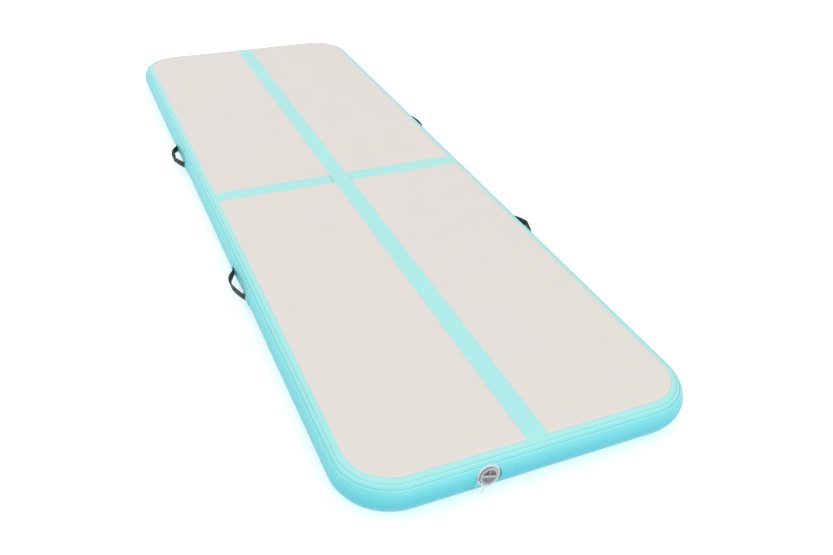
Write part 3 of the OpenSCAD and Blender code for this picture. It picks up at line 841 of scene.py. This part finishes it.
def webbing_piece(handle, webbing):
    """The whole strip of webbing, from one bonded end to the other."""
    spread = np.sin(np.linspace(-math.pi / 2, math.pi / 2, 23))
    loop = [(q, 1) for q in spread] + [(q, -1) for q in spread[-2:0:-1]]
    rows = [[webbing.surface(i, q, face) for q, face in loop] for i in range(len(webbing.line))]
    faces = tube_faces(len(rows), len(loop))
    piece = mesh_piece(handle + "_webbing", webbing.world(rows), faces, MATERIALS["webbing"])
    handle_blend(piece)
    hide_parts(handle + "_grip", handle + "_strap_ends")


def capsule(start, end, radius, around=6, ends=3):
    """Points and faces of a short round-ended stitch."""
    axis = end - start
    length = np.linalg.norm(axis)
    axis = axis / length
    side = np.cross(axis, [0.3, 0.2, 1.0])
    side /= np.linalg.norm(side)
    up = np.cross(axis, side)
    turn = np.linspace(0, math.pi / 2, ends + 1)[:-1]
    profile = [(-math.cos(t), math.sin(t)) for t in turn] + [(0, 1)]
    stations = [(start + axis * radius * (1 + a), radius * b) for a, b in profile]
    stations += [(end - axis * radius * (1 + a), radius * b) for a, b in profile[::-1]]
    points = []
    for place, r in stations:
        for k in range(around):
            a = 2 * math.pi * k / around
            points.append(place + (side * math.cos(a) + up * math.sin(a)) * r)
    return points, grid_faces(len(stations), around, wrap_columns=True)


def stitches(handle, webbing):
    """Two rows of stitches through the folded grip, seen on both faces."""
    folded = np.where(webbing.fold > 0.45)[0]
    first, last = webbing.length[folded[0]], webbing.length[folded[-1]]
    pitch = STITCH_LENGTH + STITCH_GAP
    lift = STITCH_R * 0.35
    points, faces = [], []
    for q in (-STITCH_PLACE, STITCH_PLACE):
        for face in (1, -1):
            for n in range(int((last - first) / pitch)):
                ends = []
                for distance in (first + n * pitch, first + n * pitch + STITCH_LENGTH):
                    i = webbing.at_length(distance)
                    low = int(i)
                    a = webbing.surface(low, q, face, lift)
                    b = webbing.surface(min(low + 1, len(webbing.line) - 1), q, face, lift)
                    ends.append(a + (b - a) * (i - low))
                more, quads = capsule(ends[0], ends[1], STITCH_R)
                faces += shifted(quads, len(points))
                points += more
    piece = mesh_piece(handle + "_stitches", webbing.world(points), faces, MATERIALS["seam_thread"])
    handle_blend(piece)
    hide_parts(handle + "_stitching")


def patch_point(u, s, start):
    """A point of a patch from its place along and across it: its real u and s, and its height."""
    inner_s, inner_u = PATCH_HALF_WIDTH - PATCH_CORNER_R, PATCH_END - PATCH_CORNER_R
    corner = max(0.0, abs(s) - inner_s) / PATCH_CORNER_R
    late = max(0.0, u - inner_u) / PATCH_CORNER_R
    rounded = corner > 0 and late > 0
    if rounded:
        scale = 1 / max(1.0, math.hypot(corner, late))
        s = math.copysign(inner_s + PATCH_CORNER_R * corner * scale, s)
        u = inner_u + PATCH_CORNER_R * late * scale
    edge = min(PATCH_HALF_WIDTH - abs(s), PATCH_END - u, u - start + 0.0003)
    if rounded:
        edge = min(edge, PATCH_CORNER_R * (1 - min(1.0, math.hypot(corner, late))))
    over = smooth((UNDER_PATCH[0] - abs(s)) / UNDER_PATCH_FALL[0])
    over = over * smooth((UNDER_PATCH[1] - u) / UNDER_PATCH_FALL[1])
    height = PATCH_HEIGHT * smooth(edge / PATCH_EDGE) + FLAT_THICKNESS * over
    pucker = math.sin(u * 520 + s * 260) * math.sin(s * 300)
    height += PATCH_PUCKER * float(smooth(edge / 0.004)) * pucker
    return u, s, height


def end_patches(handle):
    """The wall-coloured patches over both ends of the webbing, with soft puckers."""
    side = HANDLE_SIDE[handle]
    points, faces = [], []
    across = np.linspace(-PATCH_HALF_WIDTH, PATCH_HALF_WIDTH, 31)
    for end, start in zip((1, -1), PATCH_STARTS[handle]):
        along = np.linspace(start * MM, PATCH_END, 26)
        faces += shifted(grid_faces(len(along), len(across)), len(points))
        for place in along:
            for off_middle in across:
                u, s, height = patch_point(place, off_middle, start * MM)
                r = WALL_R - PATCH_SINK + height
                points.append((RIM_X + r * math.cos(s / WALL_R), end * u, r * math.sin(s / WALL_R)))
    p = np.array(points, float)
    nominal = np.column_stack([side * p[:, 0], HANDLE_Y[handle] + p[:, 1], RIM_Z + p[:, 2]])
    nominal[:, 0] += side * wall_relief(nominal)
    piece = mesh_piece(handle + "_patches", nominal, faces, MATERIALS["wall"])
    thicken = piece.modifiers.new("thickness", "SOLIDIFY")
    thicken.thickness = FABRIC
    thicken.offset = -1
    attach(piece, "mat")
    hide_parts(handle + "_end_patches")


def handles():
    for handle in HANDLE_NAMES:
        webbing = Webbing(handle)
        webbing_piece(handle, webbing)
        stitches(handle, webbing)
        end_patches(handle)


# ---- Valve ----
VALVE_MATRIX = Matrix(
    [[float(v[i]) for v in (VALVE_ACROSS, VALVE_UP, VALVE_OUT, VALVE_AT)] for i in range(3)]
    + [[0, 0, 0, 1]]
)
BAR_TILT = math.radians(-17)
BAR_HALF_WIDTH = 0.0034
RIB_HALF_WIDTH = 0.00175
# How far below the cap's top the cross rib's two halves stop
RIB_DROPS = (0.0024, 0.0040)
BAR_FOOT = DISH_Z - 0.001
LIP_ROUND = 0.0007
DISH_ROUND = 0.0010
RIDGES = 36
RIDGE_DEPTH = 0.00035
# The cap's underside: the groove for the tether's ring, then the skirt
GROOVE_R = 0.0220
SKIRT_R = 0.0201
GROOVE_Z = 0.0468
SKIRT_Z = 0.0370


def lathe(outline, segments=96, ripple=None):
    """Points and faces of a closed outline of (radius, height) turned about the valve's axis."""
    points = []
    for r, z in outline:
        for k in range(segments):
            a = 2 * math.pi * k / segments
            out = r + (ripple(r, z, a) if ripple else 0)
            points.append((out * math.cos(a), out * math.sin(a), z))
    return points, grid_faces(len(outline), segments, wrap_rows=True, wrap_columns=True)


def arc(centre, radius, start, end, steps):
    """Points of an arc in a (radius, height) outline, between two angles in degrees."""
    turns = [math.radians(a) for a in np.linspace(start, end, steps)]
    return [(centre[0] + radius * math.cos(a), centre[1] + radius * math.sin(a)) for a in turns]


def bar_mesh(bm, half_length, half_width, low, high, round_edge):
    """A grip bar with rounded edges, along X, added to a bmesh."""
    made = bmesh.ops.create_cube(bm, size=1.0)["verts"]
    for v in made:
        height = low + (v.co.z + 0.5) * (high - low)
        v.co = Vector((v.co.x * 2 * half_length, v.co.y * 2 * half_width, height))
    edges = list({e for v in made for e in v.link_edges if all(w in made for w in e.verts)})
    bmesh.ops.bevel(bm, geom=edges, offset=round_edge, segments=4, profile=0.6, affect="EDGES")


def place_on_valve(piece, body, node):
    """Moves a piece from the valve's own axes to the mat's frame, in the place of a node."""
    piece.data.transform(VALVE_MATRIX)
    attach(piece, body)
    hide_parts(node)


def cap_piece():
    """The screw cap: ribbed lip, dished middle, grip bar and cross rib in one moulding."""
    def ridges(r, z, a):
        on_side = smooth((r - (CAP_R - 0.0004)) / 0.0003) * smooth((CAP_TOP - 0.0004 - z) / 0.0004)
        return float(-RIDGE_DEPTH * on_side * (0.5 - 0.5 * math.cos(RIDGES * a)))

    lip = arc((CAP_R - LIP_ROUND, CAP_TOP - LIP_ROUND), LIP_ROUND, 90, 0, 5)
    lip += [(CAP_R, CAP_TOP - 0.0012), (CAP_R, LIP_Z + 0.0006), (CAP_R - 0.0005, LIP_Z)]
    under = [(GROOVE_R, LIP_Z), (GROOVE_R, GROOVE_Z), (SKIRT_R, GROOVE_Z), (SKIRT_R, SKIRT_Z)]
    under += [(DISH_R, SKIRT_Z), (DISH_R, DISH_Z - 0.002), (0.0, DISH_Z - 0.002)]
    dish = [(0.0, DISH_Z), (0.0120, DISH_Z + 0.0001), (DISH_R - 0.0030, DISH_Z + 0.0005)]
    dish += [(DISH_R - 0.0012, DISH_Z + 0.0017), (DISH_R - 0.0002, CAP_TOP - 0.0016)]
    dish += arc((DISH_R + DISH_ROUND, CAP_TOP - DISH_ROUND), DISH_ROUND, 180, 90, 5)
    dish += [(0.0212, CAP_TOP - 0.0001), (0.0218, CAP_TOP - 0.0004), (0.0224, CAP_TOP)]
    points, faces = lathe(lip + under + dish, 180, ridges)
    bm = bmesh.new()
    bar_mesh(bm, DISH_R - 0.0002, BAR_HALF_WIDTH, BAR_FOOT, CAP_TOP - 0.0004, 0.0009)
    for end, drop in zip((1, -1), RIB_DROPS):
        before = set(bm.verts)
        bar_mesh(bm, DISH_R / 2, RIB_HALF_WIDTH, BAR_FOOT, CAP_TOP - drop, 0.0006)
        for v in set(bm.verts) - before:
            v.co = Vector((v.co.y, end * (v.co.x + DISH_R / 2 - 0.0002), v.co.z))
    bmesh.ops.rotate(bm, verts=bm.verts, cent=(0, 0, 0), matrix=Matrix.Rotation(BAR_TILT, 3, "Z"))
    bm.verts.index_update()
    faces += shifted([[v.index for v in f.verts] for f in bm.faces], len(points))
    points += [tuple(v.co) for v in bm.verts]
    bm.free()
    piece = mesh_piece("screw_cap", points, faces, MATERIALS["cap"])
    place_on_valve(piece, "cap", "cap")


def boot_piece():
    """The welded ring that the fabric ends in round the flange."""
    outline = [(FLANGE_R - 0.0030, SEAT_Z - 0.0010), (FLANGE_R - 0.0010, SEAT_Z - 0.0085)]
    outline += [(FLANGE_R + 0.0026, SEAT_Z - 0.0085), (FLANGE_R + 0.0022, SEAT_Z - 0.0010)]
    outline += arc((FLANGE_R + 0.0014, SEAT_Z - 0.0002), 0.0008, 0, 90, 5)
    outline += [(FLANGE_R + 0.0006, SEAT_Z + 0.0004), (FLANGE_R - 0.0030, SEAT_Z + 0.0002)]
    points, faces = lathe(outline, 120)
    piece = mesh_piece("boot_ring", points, faces, MATERIALS["boot"])
    place_on_valve(piece, "mat", "valve_boot")


# The tether's loop in millimetres, in the valve's own axes
TETHER_LOOP = [
    (-20.5, -13.0, 47.6), (-21.4, -16.0, 49.2), (-18.6, -20.0, 52.0), (-17.0, -24.5, 54.6),
    (-19.0, -29.5, 56.6), (-25.0, -32.4, 58.0), (-31.4, -30.2, 58.4), (-36.4, -24.0, 57.6),
    (-38.4, -16.5, 55.8), (-36.2, -9.6, 53.6), (-31.4, -5.4, 51.2), (-27.4, -4.6, 49.2),
    (-24.2, -4.4, 47.6),
]
TETHER_HALF_THICK = 0.0010
TETHER_HALF_WIDE = 0.0018
# The loop's ends swell by this much where they join the ring
END_SWELL = 1.25


def tether_piece():
    """The clear strap: a ring round the cap's neck and a flat loop that stands off it."""
    ring_low, ring_high, ring_in, ring_out = 0.0471, 0.0479, 0.0223, 0.0242
    rounding = 0.0003
    outline = [(ring_in, ring_low), (ring_out - rounding, ring_low), (ring_out, ring_low + rounding)]
    outline += [(ring_out, ring_high - rounding), (ring_out - rounding, ring_high), (ring_in, ring_high)]
    points, faces = lathe(outline)
    route = smooth_route(TETHER_LOOP) * MM
    along = unit(np.gradient(route, axis=0))
    inward = route.mean(0) - route
    inward = unit(inward - (inward * along).sum(1)[:, None] * along)
    broad = np.cross(along, inward)
    around = 12
    faces += shifted(tube_faces(len(route), around), len(points))
    for i in range(len(route)):
        swell = 1.0 if 2 < i < len(route) - 3 else END_SWELL
        for k in range(around):
            a = 2 * math.pi * k / around
            points.append(route[i] + inward[i] * TETHER_HALF_THICK * swell * math.cos(a)
                          + broad[i] * TETHER_HALF_WIDE * math.sin(a))
    piece = mesh_piece("cap_tether", points, faces, MATERIALS["clear"])
    place_on_valve(piece, "tether", "tether")


SPRING_Z = (0.0255, 0.0395)
SPRING_R = 0.0054
SPRING_WIRE_R = 0.00045
SPRING_TURNS = 5


def spring_piece():
    """The return spring, coiled round the valve's axis."""
    steps, sides = 36 * SPRING_TURNS, 10
    low, high = SPRING_Z[0] + SPRING_WIRE_R, SPRING_Z[1] - SPRING_WIRE_R
    points = []
    for i in range(steps + 1):
        turn = 2 * math.pi * SPRING_TURNS * i / steps
        height = low + (high - low) * i / steps
        for k in range(sides):
            a = 2 * math.pi * k / sides
            r = SPRING_R + SPRING_WIRE_R * math.cos(a)
            points.append((r * math.cos(turn), r * math.sin(turn), height + SPRING_WIRE_R * math.sin(a)))
    piece = mesh_piece("return_spring", points, tube_faces(steps + 1, sides), MATERIALS["spring"])
    place_on_valve(piece, "mat", "pin_spring")
    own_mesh(piece)


# ---- CAD nodes that stay ----
CAD_LOOKS = {
    "drop_stitch_threads": "drop_thread", "side_wall_inner": "wall", "side_wall_joint_tape": "tape",
    "flange_gasket": "rubber", "valve_body": "bead", "valve_nut": "inner", "valve_pin": "inner",
    "seal_disc": "rubber", "seal_washer": "inner", "cap_gasket": "rubber",
}


def dress_cad_nodes():
    """Gives the nodes that are shown as the CAD made them their materials."""
    for node, key in CAD_LOOKS.items():
        obj = frame["nodes"][node]
        obj.data.materials.clear()
        obj.data.materials.append(MATERIALS[key])


# ---- Stage ----
def camera():
    """The camera, beyond the mat's near left corner and looking along it."""
    data = bpy.data.cameras.new("camera")
    data.lens = 37.212
    data.sensor_width = 36.0
    data.clip_end = 60.0
    obj = bpy.data.objects.new("camera", data)
    obj.location = (-0.92343, -2.72422, 1.57637)
    obj.rotation_euler = (0.98082, -0.03410, -0.40851)
    bpy.context.scene.collection.objects.link(obj)
    bpy.context.scene.camera = obj


def area_light(name, place, aim, size, power, colour=(1.0, 1.0, 1.0)):
    data = bpy.data.lights.new(name, "AREA")
    data.shape = "RECTANGLE"
    data.size, data.size_y = size
    data.energy = power
    data.color = colour
    obj = bpy.data.objects.new(name, data)
    obj.location = place
    obj.rotation_euler = (Vector(aim) - Vector(place)).to_track_quat("-Z", "Y").to_euler()
    bpy.context.scene.collection.objects.link(obj)


FLOOR_HALF = 14.0
FLOOR_GAP = 0.0002


def stage():
    """A pale floor with a slight glow of its own, a white surround and three soft lights."""
    shader = Shader("studio_floor", Specular_IOR_Level=0.1, Emission_Color=(1.0, 1.0, 1.0, 1.0),
                    Emission_Strength=0.30)
    shader.to("Base Color", shader.tint((0.86, 0.85, 0.85), shader.noise(0.4, 2), 0.995, 1.005))
    shader.to("Roughness", shader.math("MULTIPLY_ADD", shader.noise(0.05, 2), 0.1, 0.8))
    corners = [(x * FLOOR_HALF, y * FLOOR_HALF, -FLOOR_GAP) for x, y in ((-1, -1), (1, -1), (1, 1), (-1, 1))]
    floor = mesh_piece("studio_floor", corners, [(0, 1, 2, 3)], shader.material)
    world = bpy.data.worlds.new("studio")
    bpy.context.scene.world = world
    world.use_nodes = True
    background = world.node_tree.nodes["Background"]
    background.inputs["Color"].default_value = (1.0, 1.0, 1.0, 1.0)
    background.inputs["Strength"].default_value = 0.935
    area_light("overhead", (0.4, 1.2, 4.4), (0, 0, 0), (5.0, 6.5), 26)
    area_light("front_fill", (0.4, -5.2, 1.6), (0, -0.9, 0), (3.5, 2.0), 48)
    area_light("left_fill", (-5.0, 0.6, 1.6), (0, 0.2, 0), (4.5, 2.0), 42)
    bpy.context.scene.view_settings.view_transform = "Standard"


camera()
skins()
outer_wall()
seam_layers()
deck_lines()
handles()
boot_piece()
cap_piece()
tether_piece()
spring_piece()
dress_cad_nodes()
stage()
